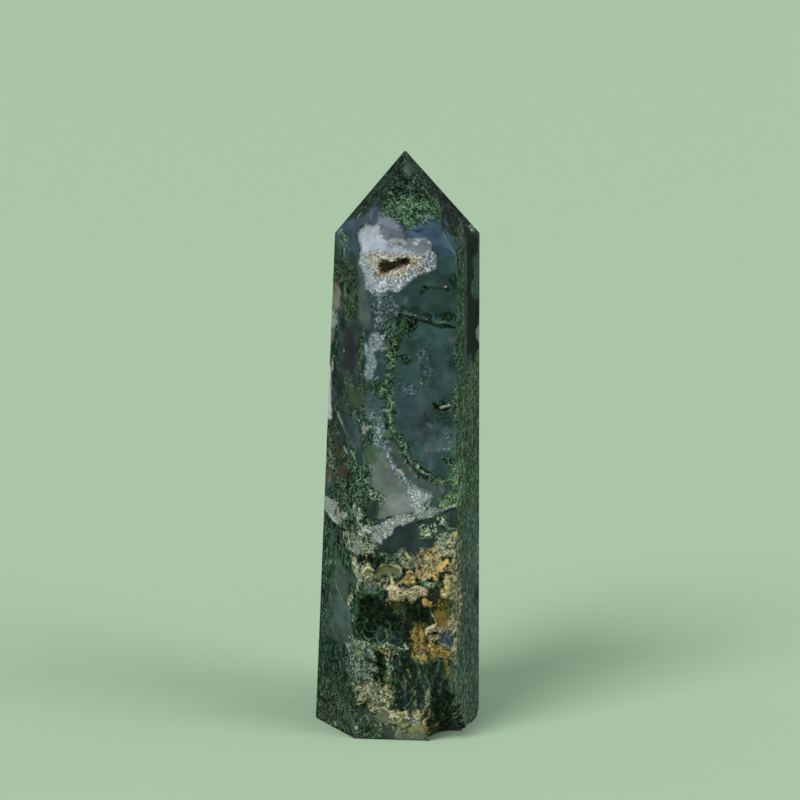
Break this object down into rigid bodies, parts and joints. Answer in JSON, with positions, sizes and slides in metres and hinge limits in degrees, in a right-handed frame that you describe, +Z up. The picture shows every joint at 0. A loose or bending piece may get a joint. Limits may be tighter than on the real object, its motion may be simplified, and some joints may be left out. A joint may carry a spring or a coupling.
{
  "type": "polished moss agate point",
  "caption": "Six-sided tower of polished moss agate with a pointed tip, a small crystal-lined hollow and a flat base that it stands on as a display stone.",
  "frame": {"origin": "centre of the flat base", "axes": "+Z up along the tower to its tip; -Y towards the front facet with the hollow"},
  "size_m": [0.0256, 0.0242, 0.09],
  "materials": {
    "moss_agate": "polished, with moss-green, blue-grey, white and ochre patterns",
    "druzy_quartz": "small glossy crystals stained ochre"
  },
  "bodies": {
    "root": {"agate_point": "moss_agate", "vug_crystals": "druzy_quartz"}
  },
  "joints": []
}
